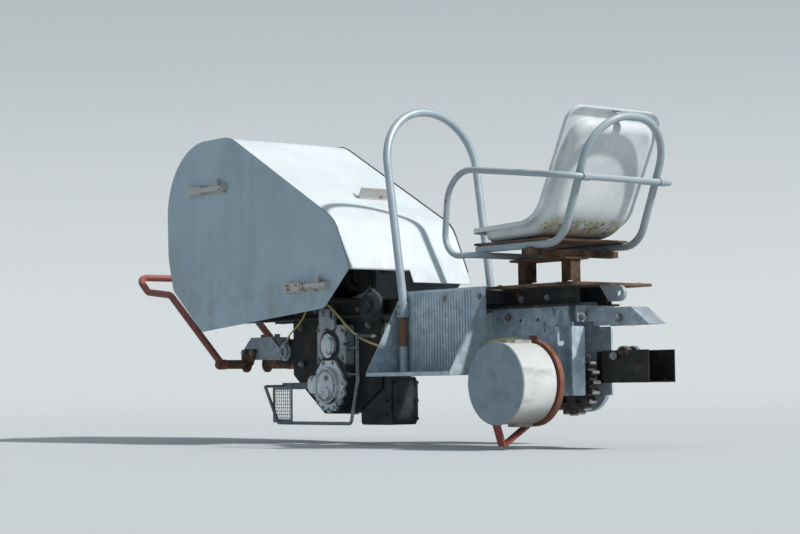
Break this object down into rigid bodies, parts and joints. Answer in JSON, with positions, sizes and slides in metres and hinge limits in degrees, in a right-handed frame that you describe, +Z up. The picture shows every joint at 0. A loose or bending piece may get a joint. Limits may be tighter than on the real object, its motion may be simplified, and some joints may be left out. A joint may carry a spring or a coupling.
{
  "type": "rack monorail traction unit",
  "caption": "Powered unit of a vineyard rack monorail: sheet hood over the engine, footrests, grab hoop, driver's seat, rail carriages with rack pinions and brake drum.",
  "frame": {"origin": "on the rail's axis, 76 mm behind the footrests' front edge, on the rail mount", "axes": "+X along the rail to the unit's rear, +Y across to the driver's right, +Z up at right angles to the rail"},
  "size_m": [2.7255, 0.662, 1.134],
  "materials": {
    "frame_steel": "old dark paint with rust",
    "dark_steel": "oily black paint",
    "case_grey": "pale grey paint, weathered",
    "cast_alloy": "sand cast, dull",
    "galvanised": "zinc coated, dull and stained",
    "hood_paint": "pale blue-grey paint, weathered",
    "lug_steel": "zinc with rust",
    "red_paint": "faded red primer",
    "rusty_steel": "brown rust",
    "tube_paint": "grey paint, chipped",
    "seat_plastic": "chalky moulded plastic",
    "worn_steel": "run bright on the treads",
    "cable_sheath": "yellow sheath"
  },
  "bodies": {
    "chassis": {"main_frame": "frame_steel", "front_plate_near": "dark_steel", "front_plate_far": "dark_steel", "gear_case": "case_grey", "gear_cover": "cast_alloy", "oval_cover": "cast_alloy", "transmission_case": "dark_steel", "front_guide": "galvanised", "guide_pins": "galvanised", "clutch_housing": "dark_steel", "drive_guard": "galvanised", "guard_mesh": "galvanised", "engine_block": "dark_steel", "hood_arms": "frame_steel", "bar_brackets": "rusty_steel", "footrest_near": "galvanised", "footrest_far": "galvanised", "grab_hoop": "tube_paint", "hoop_sleeves": "galvanised", "deck_plate": "rusty_steel", "seat_posts": "rusty_steel", "seat_tube": "tube_paint", "seat_board": "rusty_steel", "seat_shell": "seat_plastic", "arm_rail": "tube_paint", "rear_plate_near": "galvanised", "rear_plate_far": "galvanised", "rear_guide_top": "galvanised", "rear_guide_low": "dark_steel", "brake_drum": "case_grey", "drum_ring": "red_paint", "drum_bracket": "red_paint", "tow_lug": "galvanised", "control_cable": "cable_sheath"},
    "hood": {"hood_shell": "hood_paint", "hood_lugs": "lug_steel"},
    "bar": {"safety_bar": "red_paint"},
    "drive_pinion_wheel": {"drive_pinion": "worn_steel"},
    "brake_pinion_wheel": {"brake_pinion": "worn_steel"},
    "front_roller_top_wheel": {"front_roller_top": "worn_steel"},
    "middle_roller_top_wheel": {"middle_roller_top": "worn_steel"},
    "rear_roller_top_wheel": {"rear_roller_top": "worn_steel"},
    "tail_roller_top_wheel": {"tail_roller_top": "worn_steel"},
    "front_roller_low_wheel": {"front_roller_low": "worn_steel"},
    "tail_roller_low_wheel": {"tail_roller_low": "worn_steel"}
  },
  "joints": [
    {"name": "hood_hinge", "type": "hinge", "parent": "chassis", "child": "hood", "pos_m": [-1.328, 0, 0.24], "axis": [0, -1, 0], "range_deg": [0, 45]},
    {"name": "bar_pivot", "type": "hinge", "parent": "chassis", "child": "bar", "pos_m": [-1.178, 0, -0.056], "axis": [0, 1, 0], "range_deg": [0, 8]},
    {"name": "drive_pinion_spin", "type": "hinge", "parent": "chassis", "child": "drive_pinion_wheel", "pos_m": [-0.57, 0, -0.14], "axis": [0, 1, 0], "continuous": true},
    {"name": "brake_pinion_spin", "type": "hinge", "parent": "chassis", "child": "brake_pinion_wheel", "pos_m": [0.558, 0, -0.14], "axis": [0, 1, 0], "continuous": true},
    {"name": "front_roller_top_spin", "type": "hinge", "parent": "chassis", "child": "front_roller_top_wheel", "pos_m": [-0.8, 0, 0.0703], "axis": [0, 1, 0], "continuous": true},
    {"name": "middle_roller_top_spin", "type": "hinge", "parent": "chassis", "child": "middle_roller_top_wheel", "pos_m": [-0.4, 0, 0.0703], "axis": [0, 1, 0], "continuous": true},
    {"name": "rear_roller_top_spin", "type": "hinge", "parent": "chassis", "child": "rear_roller_top_wheel", "pos_m": [0.33, 0, 0.0703], "axis": [0, 1, 0], "continuous": true},
    {"name": "tail_roller_top_spin", "type": "hinge", "parent": "chassis", "child": "tail_roller_top_wheel", "pos_m": [0.8, 0, 0.0543], "axis": [0, 1, 0], "continuous": true},
    {"name": "front_roller_low_spin", "type": "hinge", "parent": "chassis", "child": "front_roller_low_wheel", "pos_m": [-0.79, 0, -0.0603], "axis": [0, 1, 0], "continuous": true},
    {"name": "tail_roller_low_spin", "type": "hinge", "parent": "chassis", "child": "tail_roller_low_wheel", "pos_m": [0.8, 0, -0.0603], "axis": [0, 1, 0], "continuous": true}
  ]
}
